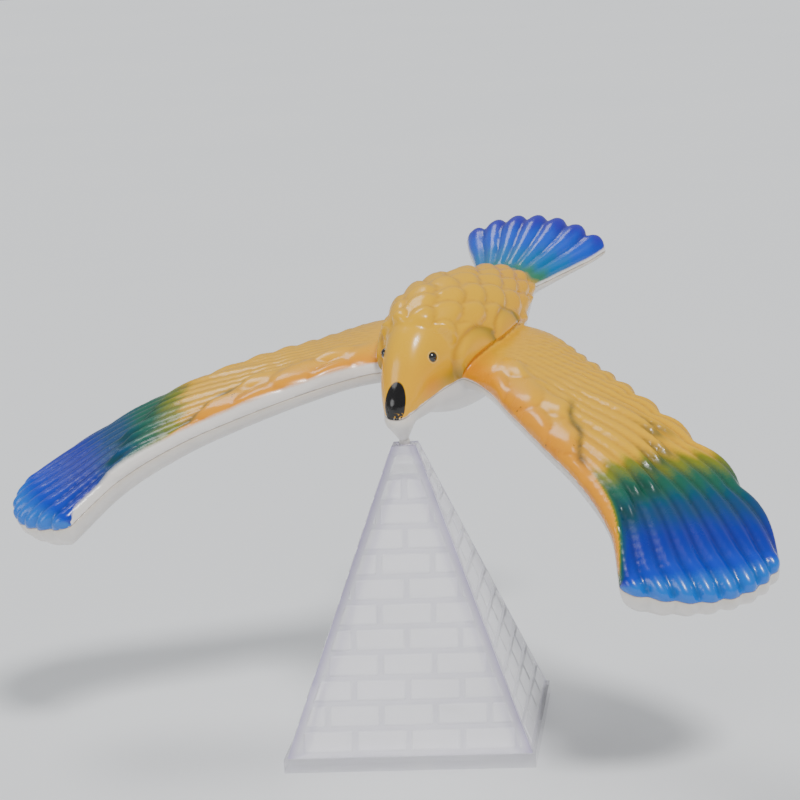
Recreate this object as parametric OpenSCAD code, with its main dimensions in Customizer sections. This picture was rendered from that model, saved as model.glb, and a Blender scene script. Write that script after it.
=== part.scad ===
// Balancing bird toy on a clear pyramid stand.
// Millimetres, +Z up. Origin: centre of the underside of the stand.
// The bird is drawn in its own frame (origin at the pivot, X to its left,
// Y to its tail, Z along the mould draw) and is then set on the pivot.

/* [Stand] */
// Side of the square base band
base_side = 54; // [50:0.5:60]
// Thickness of the base band
base_t = 3; // [2:0.1:4]
// Side of the pyramid where it stands on the band
pyr_side = 52.6; // [48:0.2:58]
// Side of the small flat on top of the pyramid
top_side = 5.4; // [5:0.1:8]
// Height of the flat top above the table
top_z = 65.4; // [60:0.2:75]
// Wall of the pyramid, measured level
pyr_wall = 2.7; // [2:0.1:4]
// Level at which the hollow closes
hollow_z = 58; // [50:0.5:60]
// Courses of bricks on a face
courses = 12; // [8:1:16]
// Length of one brick
brick_l = 11.6; // [8:0.1:14]
// Width of the mortar joint
joint_w = 0.9; // [0.5:0.1:1.5]
// Height of the brick relief
relief = 0.4; // [0.2:0.05:0.8]
// Diameter of the round recess in the base
rim_d = 20; // [14:0.5:26]

/* [Pivot] */
// Radius of the round end of the peg
ball_r = 1.2; // [0.8:0.05:1.6]
// Running gap between ball and cup
cup_gap = 0.06; // [0.03:0.01:0.1]
// Outer radius of the cup
cup_r = 2.0; // [1.8:0.05:2.4]
// Length of the cup
cup_h = 2.7; // [2:0.1:4]
// Height of the pivot point above the flat top
pivot_up = 0.55; // [0.3:0.05:1]

/* [Attitude] */
// Heading of the bird about the vertical
heading = -19; // [-180:1:180]
// Tilt of the mould draw when the bird is at rest, tail up
nose_down = 22; // [0:0.5:40]
// Lean of the bird at rest, left wing down
lean = 3; // [-10:0.5:10]

/* [Shells] */
// Wall of the moulded shells
shell_t = 1.0; // [0.8:0.05:1.6]
// Gap at the seam between the shells
seam = 0.06; // [0.02:0.01:0.2]
// Height of the upper side of the wing above the seam
wing_up = 3.9; // [3:0.1:6]
// Depth of the lower side of the wing below the seam
wing_low = 4.3; // [3:0.1:6]
// Extra depth of the lower side at the tip
tip_deeper = 1.7; // [0:0.1:3]
// How far the round tip stands out past the tip line
tip_bulge = 7.6; // [4:0.2:12]
// Depth of the scallops between feather ends
scallop = 0.9; // [0:0.1:2]
// Feathers that end on the wing tip
tip_feathers = 8; // [6:1:10]

/* [Locating pins] */
// Radius of a locating pin
pin_r = 1.0; // [0.8:0.1:1.5]
// Radial interference gap of a pin in its socket
pin_gap = 0.03; // [0.01:0.01:0.1]

/* [Weights] */
// Length of the flat steel weight in the right wing tip
weight_l = 27; // [16:0.1:34]
// Width of a weight
weight_w = 10; // [6:0.1:14]
// Thickness of a weight
weight_t = 3.6; // [2:0.1:5]
// Extra length of the weight in the left wing
weight_extra = 0.16; // [-1:0.01:1]
// Weight centre, from the bird's centre plane
weight_x = 75.5; // [60:0.1:85]
// Weight centre, behind the pivot
weight_y = -20.15; // [-40:0.05:0]
// Weight centre, above the pivot
weight_z = -7.8; // [-14:0.1:0]

/* [Eyes] */
// Radius of an eye dome
eye_r = 1.25; // [0.8:0.05:2]

/* [Hidden] */
$fn = 48;
pivot_z = top_z + pivot_up;
face_run = (pyr_side - top_side)/2;
face_rise = top_z - base_t;
face_len = sqrt(face_run*face_run + face_rise*face_rise);
face_tilt = atan2(face_run, face_rise);
eye_pos = [5.35, 9.5, 16.2];
// Locating pins: across, back, seam level, top of the socket, foot of the boss
pins = [[0, 17, 7.4, 22.3, -3.2], [0, 55, 2.8, 9.4, -3.2],
        [37, 13, 4.9, 8.3, 1.4], [-37, 13, 4.9, 8.3, 1.4]];

clear_c = [0.90, 0.89, 0.95, 0.35];
white_c = [0.93, 0.90, 0.87];
yellow_c = [0.96, 0.73, 0.16];
steel_c = [0.62, 0.63, 0.65];
black_c = [0.03, 0.03, 0.03];

// Leading and trailing edge of the left wing on the seam, root to tip
lead_pts = [[4, 16, 7.6], [15, 11.8, 7.5], [25, 2.4, 8.0], [36, -7, 7.0], [47, -15.6, 4.8], [57, -26, 1.6],
            [63.5, -39.5, -2.2]];
trail_pts = [[4, 43, 4.2], [20, 38.8, 4.2], [33, 31.2, 3.0], [46, 22.4, 2.4], [60, 14, -0.6], [76, 4, -6.2],
             [89.5, -13, -10.6]];
tip_out = [0.70, -0.71, -0.18];

// Body: distance back, half width, top, seam, bottom
body_pts = [[-2.6, 1.2, 9.0, 7.4, 5.8], [-1.2, 2.8, 11.2, 7.6, 4.8], [1.5, 4.4, 13.6, 8.2, 3.8],
            [5, 5.9, 18.0, 8.6, 3.0], [9, 7.2, 21.0, 8.4, 1.6], [13, 8.6, 22.4, 7.9, -1.0],
            [19, 10.6, 22.8, 7.2, -4.6], [26, 12.6, 22.0, 6.4, -6.9], [33, 13.2, 20.2, 5.6, -7.4],
            [41, 12.4, 17.0, 4.6, -6.6], [50, 10.2, 12.6, 3.4, -4.8], [58, 8.2, 8.4, 2.4, -3.2],
            [66, 6.4, 5.0, 1.7, -1.8]];

// Tail: distance back, half width, height of the middle, rise, depth
tail_pts = [[52, 5.6, 3.0, 4.2, 3.4], [60, 7.2, 2.4, 3.6, 3.2], [66, 9.2, 2.2, 2.9, 2.9],
            [72, 12.6, 2.8, 2.6, 2.7], [77, 15.8, 3.6, 2.5, 2.6], [81, 17.8, 4.4, 2.4, 2.5]];

function sgn(a) = a < 0 ? -1 : 1;
function pw(a, e) = sgn(a)*pow(abs(a), e);
function mix(a, b, t) = a + (b - a)*t;
// Catmull-Rom curve through a list of points; s runs from 0 to the last index
function at(p, i) = i < 0 ? 2*p[0] - p[1] : i > len(p) - 1 ? 2*p[len(p) - 1] - p[len(p) - 2] : p[i];
function cr(p, s) = let (i = min(floor(s), len(p) - 2), t = s - i,
    a = at(p, i - 1), b = at(p, i), c = at(p, i + 1), d = at(p, i + 2))
    0.5*(2*b + (c - a)*t + (2*a - 5*b + 4*c - d)*t*t + (3*b - a - 3*c + d)*t*t*t);

// Points round half a ring, steps along a wing and steps round a tip: skin, hollow
half_n = [16, 10];
spans = [10, 6];
tips = [[0.35, 0.68, 0.9, 0.985], [0.5, 0.93]];

// Height of the wing skin at a span position, thin at the trailing edge
function skin(v, up) = up > 0 ? 1 - 0.35*max(0, v - 0.35) : 1 - 0.15*v;
function lobe(v) = scallop*(abs(sin(180*tip_feathers*v)) - 1);
// Close half a ring along the seam, or ext past it for a hollow
function close_ring(ring, floor_pts, up, ext) = let (n = len(ring) - 1, d = [0, 0, up*ext],
    under = [for (i = [n - 1:-1:1]) floor_pts[i] - d])
    ext > 0 ? concat([ring[0] - d], ring, [ring[n] - d], under) : concat(ring, under);
function wing_half(u, q, up, t, ext) =
    let (s = u*(len(lead_pts) - 1), l0 = cr(lead_pts, s), t0 = cr(trail_pts, s),
         c = (t0 - l0)/norm(t0 - l0), l = l0 + c*t, r = t0 - c*t,
         h = (up > 0 ? wing_up : wing_low + tip_deeper*u*u) - t, k = q > 0 ? sqrt(max(0, 1 - q*q)) : 1,
         ex = up > 0 ? 0.72 : 0.5, n = half_n[t > 0.5 ? 1 : 0],
         rows = [for (i = [0:n]) let (a = 180*i/n, v = 0.5 - 0.5*pw(cos(a), 0.8),
             b = q*(1.4 + (tip_bulge - t)*(1 - pow(2*v - 1, 2)) + lobe(v)*(t > 0 ? 0.5 : 1)))
             [mix(l, r, v) + tip_out*b,
              [0, 0, up*h*k*skin(v, up)*pow(sin(a), ex)]]])
    close_ring([for (p = rows) p[0] + p[1]], [for (p = rows) p[0]], up, ext);
function wing_rings(up, t, ext) = concat(
    let (m = spans[t > 0.5 ? 1 : 0]) [for (i = [0:m]) wing_half(i/m, 0, up, t, ext)],
    [for (q = tips[t > 0.5 ? 1 : 0]) wing_half(1, q, up, t, ext)]);

function body_half(s, up, t, ext) =
    let (p = cr(body_pts, s),
         w = max(0.3, p[1] - t),
         h = max(0.3, (up > 0 ? p[2] - p[3] : p[3] - p[4]) - t),
         n = half_n[t > 0.5 ? 1 : 0],
         rows = [for (i = [0:n]) let (a = 180*i/n)
             [[w*pw(cos(a), 0.92), p[0], p[3]],
              [0, 0, up*h*pow(sin(a), up > 0 ? 0.95 : 0.8)]]])
    close_ring([for (p = rows) p[0] + p[1]], [for (p = rows) p[0]], up, ext);
function body_rings(up, t, ext) = let (m = len(body_pts) - 1)
    [for (i = t > 0.5 ? [1:m] : [0:0.5:m]) body_half(i, up, t, ext)];

function tail_half(s, q, up, t, ext) =
    let (p = cr(tail_pts, s), w = p[1] - t, h = (up > 0 ? p[3] : p[4]) - t,
         k = q > 0 ? sqrt(max(0, 1 - q*q)) : 1, bend = 3.6*max(0, (p[0] - 60)/21),
         n = half_n[t > 0.5 ? 1 : 0],
         rows = [for (i = [0:n]) let (a = 180*i/n, v = pw(cos(a), 0.8),
             b = q*(1.4 + (4.2 - t)*(1 - v*v) + lobe((v + 1)*7/16)*(t > 0 ? 0.5 : 1)))
             [[w*v*(1 + 0.02*q), p[0] + b, p[2] - bend*v*v + 0.12*b],
              [0, 0, up*h*k*pow(sin(a), 0.6)]]])
    close_ring([for (p = rows) p[0] + p[1]], [for (p = rows) p[0]], up, ext);
function tail_rings(up, t, ext) = let (n = len(tail_pts) - 1)
    concat([for (i = [0:n]) tail_half(i, 0, up, t, ext)],
           [for (q = tips[t > 0.5 ? 1 : 0]) tail_half(n, q, up, t, ext)]);

// Skin a list of closed half rings; the ends are closed by strips from roof to floor
module skin_rings(r, up, ext) {
    m = len(r); n = len(r[0]); h = ext > 0 ? (n - 2)/2 : n/2; e = ext > 0 ? 1 : 0;
    pts = [for (a = r) for (b = a) b];
    side = [for (i = [0:m - 2]) for (j = [0:n - 1]) let (k = (j + 1)%n)
        each [[i*n + j, (i + 1)*n + j, (i + 1)*n + k], [i*n + j, (i + 1)*n + k, i*n + k]]];
    strip = [for (i = [0:h - 1])
        let (f0 = i == 0 ? 0 : 2*h + 2*e - i,
             f1 = i == h - 1 ? h + 2*e : 2*h + 2*e - i - 1)
        each [if (i < h - 1 || e == 1) [i + e, i + 1 + e, f1],
              if (i == h - 1 && e == 0) [i, i + 1, f0],
              if (f0 != i + e && (i < h - 1 || e == 1)) [i + e, f1, f0]]];
    all_f = concat(side, strip, [for (f = strip) [for (i = [2, 1, 0]) f[i] + (m - 1)*n]]);
    polyhedron(pts, up > 0 ? [for (f = all_f) [f[2], f[1], f[0]]] : all_f, convexity = 8);
}

// Height of the seam surface anywhere under the bird
function ease(a) = let (b = min(1, max(0, a))) b*b*(3 - 2*b);
mid_seam = concat([for (p = body_pts) if (p[0] < 57) [p[0], p[3]]], [[59, 2.5]],
                  [for (p = tail_pts) if (p[0] > 65) [p[0], p[2]]], [[90, 5.2]]);
tail_w = [for (p = tail_pts) [p[0], p[1]]];
function seam_z(x, y) =
    let (a = abs(x),
         l = lookup(a, [for (p = lead_pts) [p[0], p[2]]]),
         r = lookup(a, [for (p = trail_pts) [p[0], p[2]]]),
         yl = lookup(a, [for (p = lead_pts) [p[0], p[1]]]),
         yr = lookup(a, [for (p = trail_pts) [p[0], p[1]]]),
         wing = mix(l, r, min(1, max(0, (y - yl)/(yr - yl)))), bend = 3.6*max(0, (y - 60)/21),
         v = min(1.2, a/lookup(y, tail_w)), mid = lookup(y, mid_seam) - bend*v*v)
    mix(mid, wing, ease((a - 9)/8)*(1 - ease((y - 44)/10)));
grid_x = [for (x = [-97:3.9:97.9]) x + 0.05];
grid_y = [for (y = [-51:4:97]) y + 0.07];
// Everything above the seam, lowered by drop
module above_seam(drop) {
    m = len(grid_x); n = len(grid_y); k = m*n;
    low = [for (x = grid_x) for (y = grid_y) [x, y, seam_z(x, y) - drop]];
    high = [for (x = grid_x) for (y = grid_y) [x, y, 60]];
    skin_f = [for (i = [0:m - 2]) for (j = [0:n - 2]) let (a = i*n + j)
        each [[a, a + n, a + n + 1], [a, a + n + 1, a + 1],
              [a + k, a + k + n + 1, a + k + n], [a + k, a + k + 1, a + k + n + 1]]];
    rim = concat([for (j = [0:n - 1]) j], [for (i = [1:m - 1]) i*n + n - 1],
                 [for (j = [n - 2:-1:0]) (m - 1)*n + j], [for (i = [m - 2:-1:1]) i*n]);
    wall = [for (i = [0:len(rim) - 1])
        let (a = rim[i], b = rim[(i + 1)%len(rim)])
        each [[a, b, b + k], [a, b + k, a + k]]];
    polyhedron(concat(low, high), concat(skin_f, wall), convexity = 4);
}

// Moulded shell of one side, cut along the seam
module shell(up) {
    intersection() {
        difference() {
            halves(up, 0, 1.5);
            halves(up, shell_t, 3);
        }
        if (up > 0) above_seam(0);
        else difference() {
            translate([-100, -60, -40]) cube([200, 160, 90]);
            above_seam(seam);
        }
    }
}

module halves(up, t, ext) {
    skin_rings(body_rings(up, t, ext), up, ext);
    skin_rings(tail_rings(up, t, ext), up, ext);
    for (m = [0, 1]) mirror([m, 0, 0]) skin_rings(wing_rings(up, t, ext), up, ext);
}

module on_pivot() {
    translate([0, 0, pivot_z]) rotate([0, 0, heading]) rotate([0, lean, 0]) rotate([nose_down, 0, 0])
        children();
}

// A weight lies along the tip line, which runs down toward the trailing corner
module weight_place(s) {
    translate([s*weight_x, weight_y, weight_z]) rotate([0, 0, 90 - s*45]) rotate([0, 10, 0]) children();
}

module weight(s, l, g = 0) {
    r = weight_w/2;
    weight_place(s) translate([0, 0, -weight_t/2 - g]) {
        for (e = [-1, 1]) translate([e*(l/2 - r), 0, 0]) cylinder(h = weight_t + 2*g, r = r + g);
        translate([r - l/2, -r - g, 0]) cube([l - 2*r, 2*r + 2*g, weight_t + 2*g]);
    }
}

// Ribs that hold a weight, cut to the inside of the lower shell
module cradles(s) {
    weight_place(s) for (e = [-1, 1])
        translate([e*weight_l/4, 0, -1]) cube([1.2, weight_w + 3, 9], center = true);
}

module peg() {
    cylinder(h = 3.0, r1 = 0.8, r2 = 2.2);
    translate([0, 0, 2.99]) cylinder(h = 2.6, r1 = 2.2, r2 = 3.5);
    translate([0, 0, 5.5]) cylinder(h = 1.4, r = 3.5);
}

module upper_shell() color(yellow_c) on_pivot() resize([0, 0, 0]) difference() {
    union() {
        shell(1);
        // sockets for the locating pins
        for (p = pins) translate([p[0], p[1], p[2]]) cylinder(h = p[3] - p[2], r = pin_r + 1.1, $fn = 24);
    }
    for (p = pins) translate([p[0], p[1], p[2] - 3]) cylinder(h = 5.7, r = pin_r + pin_gap, $fn = 24);
    for (s = [1, -1]) translate([s*eye_pos[0], eye_pos[1], eye_pos[2]]) sphere(r = eye_r + 0.03);
    for (s = [1, -1]) weight(s, weight_l + abs(weight_extra), 0.1);
}

module lower_shell() color(white_c) on_pivot() resize([0, 0, 0]) difference() {
    union() {
        shell(-1);
        intersection() {
            for (s = [1, -1]) cradles(s);
            halves(-1, 0.3, 0);
        }
        // bosses and pins
        for (p = pins) translate([p[0], p[1], p[4]])
            cylinder(h = p[2] - p[4] - 0.1, r = pin_r + 1.1, $fn = 24);
        for (p = pins) translate([p[0], p[1], p[4]]) cylinder(h = p[2] - p[4] + 2.4, r = pin_r, $fn = 24);
        peg();
    }
    for (s = [1, -1]) weight(s, weight_l + abs(weight_extra), 0.1);
    sphere(r = ball_r + 0.02);
}

module peg_ball() color(white_c) translate([0, 0, pivot_z]) sphere(r = ball_r, $fn = 40);

module pivot_cup() color(clear_c) translate([0, 0, top_z]) difference() {
    translate([0, 0, -cup_h]) cylinder(h = cup_h + 0.1, r = cup_r);
    translate([0, 0, pivot_up]) sphere(r = ball_r + cup_gap);
}

module wing_weight_left() color(steel_c) on_pivot() weight(1, weight_l + weight_extra);
module wing_weight_right() color(steel_c) on_pivot() weight(-1, weight_l);

module eye(s) color(black_c) on_pivot() translate([s*eye_pos[0], eye_pos[1], eye_pos[2]])
    sphere(r = eye_r, $fn = 32);
module eye_left() eye(1);
module eye_right() eye(-1);

// Flat layout of the bricks of one face, foot of the face on the X axis
module brick_face() {
    pitch = face_len/(courses + 0.35);
    intersection() {
        for (c = [0:courses - 1]) for (i = [-3:3])
            translate([(i + (c%2)*0.5)*brick_l, (c + 0.2)*pitch])
                square([brick_l - joint_w, pitch - joint_w], center = false);
        polygon([[-pyr_side/2 + 1.3, 0.2], [pyr_side/2 - 1.3, 0.2],
                 [top_side/2 - 0.7, face_len - 2.2], [-top_side/2 + 0.7, face_len - 2.2]]);
    }
}

module frustum(a, b, z0, z1) {
    translate([0, 0, z0]) rotate([0, 0, 45])
        cylinder(h = z1 - z0, r1 = a/sqrt(2), r2 = b/sqrt(2), $fn = 4);
}

module pyramid_shell() color(clear_c) difference() {
    union() {
        frustum(pyr_side, top_side, base_t, top_z);
        for (k = [0:3]) rotate([0, 0, 90*k])
            translate([0, -pyr_side/2, base_t]) rotate([90 - face_tilt, 0, 0])
            translate([0, 0, -0.3]) linear_extrude(height = relief + 0.3) brick_face();
    }
    k = (hollow_z - base_t)/face_rise;
    frustum(pyr_side - 2*pyr_wall, pyr_side - 2*pyr_wall - (pyr_side - top_side)*k,
            base_t - 0.001, hollow_z);
    translate([0, 0, top_z - cup_h - 0.05]) cylinder(h = cup_h + 1, r = cup_r + 0.06);
}

module base_plate() color(clear_c) difference() {
    union() {
        translate([-base_side/2, -base_side/2, 0]) cube([base_side, base_side, base_t]);
        // lip that locates the pyramid
        difference() {
            frustum(pyr_side - 2*pyr_wall - 0.2, pyr_side - 2*pyr_wall - 1.4, base_t - 0.01, base_t + 1.6);
            frustum(pyr_side - 2*pyr_wall - 3, pyr_side - 2*pyr_wall - 3, base_t, base_t + 4);
        }
        // round step and rim in the middle of the floor
        translate([0, 0, base_t - 0.01]) cylinder(h = 0.51, r = rim_d/2 + 5);
        translate([0, 0, base_t - 0.01]) cylinder(h = 1.8, r = rim_d/2 + 1.5);
    }
    translate([0, 0, base_t - 1.2]) cylinder(h = 12, r = rim_d/2);
}

pyramid_shell();
base_plate();
pivot_cup();
peg_ball();
lower_shell();
upper_shell();
wing_weight_left();
wing_weight_right();
eye_left();
eye_right();
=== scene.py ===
"""Looks of a balancing bird toy on a clear pyramid stand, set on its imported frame."""

import logging
import math
from dataclasses import dataclass, field
from enum import Enum

import bmesh
import bpy
import numpy as np
from mathutils import Matrix, Vector
from mathutils.bvhtree import BVHTree


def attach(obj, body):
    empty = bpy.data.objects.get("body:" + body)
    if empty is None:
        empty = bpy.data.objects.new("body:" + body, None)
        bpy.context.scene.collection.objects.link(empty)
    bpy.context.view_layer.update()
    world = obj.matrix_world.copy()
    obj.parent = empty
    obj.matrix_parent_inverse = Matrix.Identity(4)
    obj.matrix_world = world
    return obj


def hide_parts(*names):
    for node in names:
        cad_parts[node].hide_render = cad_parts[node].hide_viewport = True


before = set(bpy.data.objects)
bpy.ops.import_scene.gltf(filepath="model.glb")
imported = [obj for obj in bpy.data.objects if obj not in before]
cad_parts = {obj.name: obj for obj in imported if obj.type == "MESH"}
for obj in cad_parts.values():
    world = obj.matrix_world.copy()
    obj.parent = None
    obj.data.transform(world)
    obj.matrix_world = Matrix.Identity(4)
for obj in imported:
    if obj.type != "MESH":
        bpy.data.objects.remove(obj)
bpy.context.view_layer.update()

logging.basicConfig(level=logging.INFO, format="%(levelname)s %(message)s")
LOG = logging.getLogger("bird")
MM = 0.001
RING_POINTS = 120
PEG_RINGS = ((0.55, 1.05), (1.5, 1.45), (3.0, 2.2), (4.4, 2.95), (5.6, 3.5), (6.9, 3.5))
SEAM_LINE = 0.14


class Part(Enum):
    """Which loft a point of the skin belongs to."""

    BODY = 0
    WING = 1
    TAIL = 2
    PEG = 3


class Side(Enum):
    """The two mould halves of the bird."""

    UPPER = 1
    LOWER = -1


def ease(x: np.ndarray) -> np.ndarray:
    """Smooth step from 0 to 1.

    Args:
        x: Values; 0 and below give 0, 1 and above give 1.

    Returns:
        The eased values.
    """
    t = np.clip(x, 0.0, 1.0)
    return t * t * (3.0 - 2.0 * t)


def signed_power(a: np.ndarray, e: float) -> np.ndarray:
    """Power that keeps the sign, for rounded-square outlines."""
    return np.sign(a) * np.abs(a) ** e


def spline(table: np.ndarray, s: np.ndarray) -> np.ndarray:
    """Catmull-Rom curve through the rows of a table.

    Args:
        table: Control rows.
        s: Positions, from 0 to the last row's index.

    Returns:
        One interpolated row for each position.
    """
    p = np.vstack([2 * table[0] - table[1], table, 2 * table[-1] - table[-2]])
    i = np.clip(np.floor(s).astype(int), 0, len(table) - 2)
    t = (s - i)[:, None]
    a, b, c, d = p[i], p[i + 1], p[i + 2], p[i + 3]
    return 0.5 * (2 * b + (c - a) * t + (2 * a - 5 * b + 4 * c - d) * t**2 + (3 * b - a - 3 * c + d) * t**3)


def in_scene(name: str, data: bpy.types.ID) -> bpy.types.Object:
    """Makes an object of some data and links it to the scene."""
    ob = bpy.data.objects.new(name, data)
    bpy.context.scene.collection.objects.link(ob)
    return ob


@dataclass(frozen=True)
class BirdForm:
    """Control sizes of the bird in its own frame: millimetres, pivot at the origin, X left, Y to the tail, Z up.

    tip_deeper is 1.6 mm more than in the CAD, where the steel weights come through the underside of the tips, and the
    tips are closed here and open in the CAD.
    """

    lead: tuple = (
        (4, 16, 7.6), (15, 11.8, 7.5), (25, 2.4, 8.0), (36, -7, 7.0), (47, -15.6, 4.8), (57, -26, 1.6),
        (63.5, -39.5, -2.2),
    )
    trail: tuple = (
        (4, 43, 4.2), (20, 38.8, 4.2), (33, 31.2, 3.0), (46, 22.4, 2.4), (60, 14, -0.6), (76, 4, -6.2),
        (89.5, -13, -10.6),
    )
    tip_out: tuple = (0.70, -0.71, -0.18)
    body: tuple = (
        (-2.6, 1.2, 9.0, 7.4, 5.8), (-1.2, 2.8, 11.2, 7.6, 4.8), (1.5, 4.4, 13.6, 8.2, 3.8), (5, 5.9, 18.0, 8.6, 3.0),
        (9, 7.2, 21.0, 8.4, 1.6), (13, 8.6, 22.4, 7.9, -1.0), (19, 10.6, 22.8, 7.2, -4.6), (26, 12.6, 22.0, 6.4, -6.9),
        (33, 13.2, 20.2, 5.6, -7.4), (41, 12.4, 17.0, 4.6, -6.6), (50, 10.2, 12.6, 3.4, -4.8),
        (58, 8.2, 8.4, 2.4, -3.2), (66, 6.4, 5.0, 1.7, -1.8),
    )
    tail: tuple = (
        (52, 5.6, 3.0, 4.2, 3.4), (60, 7.2, 2.4, 3.6, 3.2), (66, 9.2, 2.2, 2.9, 2.9), (72, 12.6, 2.8, 2.6, 2.7),
        (77, 15.8, 3.6, 2.5, 2.6), (81, 17.8, 4.4, 2.4, 2.5),
    )
    wing_up: float = 3.9
    wing_low: float = 4.3
    tip_deeper: float = 3.3
    tip_bulge: float = 7.6
    scallop: float = 1.7
    feathers: int = 8
    tail_feathers: int = 7
    eye: tuple = (5.35, 9.5, 16.2)

    def feather_line(self, u: np.ndarray, v: np.ndarray) -> np.ndarray:
        """Label of the feather that passes a point of the wing; lines of one label fan out to the tip."""
        return v / (0.3 + 0.7 * u)

    def wing_mid(self, u: np.ndarray, v: np.ndarray, tip_reach: float) -> np.ndarray:
        """Height of the wing's own middle surface, on which its halves meet.

        Args:
            u: Span position, above 1 round the tip.
            v: Chord position.
            tip_reach: How much u grows round the tip.

        Returns:
            The heights.
        """
        at = np.clip(u, 0, 1) * (len(self.lead) - 1)
        low, high = spline(np.array(self.lead, float), at)[:, 2], spline(np.array(self.trail, float), at)[:, 2]
        q = np.clip((u - 1) / tip_reach, 0, 1)
        return low + (high - low) * v + self.tip_out[2] * q * (1.4 + self.tip_bulge * (1 - (2 * v - 1) ** 2))

    def wing_ring(self, u: float, q: float, angle: np.ndarray) -> tuple[np.ndarray, np.ndarray]:
        """One closed section of the left wing.

        Args:
            u: Span position, 0 at the root and 1 at the tip line.
            q: Progress round the tip, 0 on the tip line and 1 at its end.
            angle: Angles round the section; the first half turn is the upper side.

        Returns:
            The points and, for each, its chord position.
        """
        s = np.array([u * (len(self.lead) - 1)])
        a, b = spline(np.array(self.lead, float), s)[0], spline(np.array(self.trail, float), s)[0]
        chord = (b - a) / np.linalg.norm(b - a)
        v = 0.5 - 0.5 * signed_power(np.cos(angle), 0.8)
        up = np.sin(angle) >= 0
        lobes = self.scallop * (np.abs(np.sin(np.pi * self.feathers * v)) - 1.0)
        bulge = q * (1.4 + self.tip_bulge * (1 - (2 * v - 1) ** 2) + lobes)
        edge = self.scallop * (abs(math.sin(math.pi * self.feathers * self.feather_line(u, 1.0))) - 1.0)
        edge *= float(ease(np.array([(u - 0.15) / 0.2]))[0])
        k = math.sqrt(max(0.0, 1 - q * q))
        sin = np.abs(np.sin(angle))
        skin_up = self.wing_up * (1 - 0.35 * np.maximum(0, v - 0.35)) * sin**0.72
        skin_low = (self.wing_low + self.tip_deeper * u * u) * (1 - 0.15 * v) * sin**0.5
        pts = a[None] + (b - a)[None] * v[:, None] + chord[None] * (edge * ease((v - 0.7) / 0.3))[:, None]
        pts = pts + np.array(self.tip_out)[None] * bulge[:, None]
        pts[:, 2] += np.where(up, skin_up, -skin_low) * k
        return pts, v

    def body_ring(self, s: float, angle: np.ndarray) -> np.ndarray:
        """One closed section of the body, across it."""
        y, w, top, mid, low = spline(np.array(self.body, float), np.array([s]))[0]
        sin = np.sin(angle)
        z = np.where(sin >= 0, mid + (top - mid) * np.abs(sin) ** 0.95, mid - (mid - low) * np.abs(sin) ** 0.8)
        return np.stack([w * signed_power(np.cos(angle), 0.92), np.full_like(angle, y), z], 1)

    def tail_ring(self, s: float, q: float, angle: np.ndarray) -> tuple[np.ndarray, np.ndarray]:
        """One closed section of the tail and the lateral position of its points."""
        y, w, mid, up, low = spline(np.array(self.tail, float), np.array([s]))[0]
        v = signed_power(np.cos(angle), 0.8)
        lobes = self.scallop * (np.abs(np.sin(np.pi * self.tail_feathers * (v + 1) / 2)) - 1.0)
        b = q * (1.4 + 4.2 * (1 - v * v) + lobes)
        k = math.sqrt(max(0.0, 1 - q * q))
        sin = np.sin(angle)
        z = mid - 3.6 * max(0.0, (y - 60) / 21) * v * v + 0.12 * b
        z = z + np.where(sin >= 0, up, -low) * np.abs(sin) ** 0.6 * k
        return np.stack([w * v * (1 + 0.02 * q), y + b, z], 1), v

    def seam_z(self, x: np.ndarray, y: np.ndarray) -> np.ndarray:
        """Height of the surface on which the two shells meet."""
        a = np.abs(x)
        lead, trail, tail = (np.array(t, float) for t in (self.lead, self.trail, self.tail))
        zl, yl = np.interp(a, lead[:, 0], lead[:, 2]), np.interp(a, lead[:, 0], lead[:, 1])
        zr, yr = np.interp(a, trail[:, 0], trail[:, 2]), np.interp(a, trail[:, 0], trail[:, 1])
        wing = zl + (zr - zl) * np.clip((y - yl) / np.maximum(yr - yl, 1e-6), 0, 1)
        mid_y = [p[0] for p in self.body if p[0] < 57] + [59] + [p[0] for p in self.tail if p[0] > 65] + [90]
        mid_z = [p[3] for p in self.body if p[0] < 57] + [2.5] + [p[2] for p in self.tail if p[0] > 65] + [5.2]
        v = np.minimum(1.2, a / np.interp(y, tail[:, 0], tail[:, 1]))
        mid = np.interp(y, mid_y, mid_z) - 3.6 * np.maximum(0, (y - 60) / 21) * v * v
        return mid + (wing - mid) * ease((a - 9) / 8) * (1 - ease((y - 44) / 10))


@dataclass
class Attitude:
    """How the bird sits on the pivot at rest."""

    pivot: tuple = (0.0, 0.0, 65.95)
    heading: float = -19.0
    nose_down: float = 22.0
    lean: float = 3.0

    def matrix(self) -> Matrix:
        """Matrix from the bird's frame in millimetres to the row frame in metres."""
        turn = (
            Matrix.Rotation(math.radians(self.heading), 4, "Z")
            @ Matrix.Rotation(math.radians(self.lean), 4, "Y")
            @ Matrix.Rotation(math.radians(self.nose_down), 4, "X")
        )
        return Matrix.Scale(MM, 4) @ Matrix.Translation(self.pivot) @ turn


@dataclass(frozen=True)
class Finish:
    """Surface numbers of one plastic."""

    name: str
    roughness: float = 0.25
    coat: float = 0.3
    colour: tuple = (0.8, 0.8, 0.8)


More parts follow.
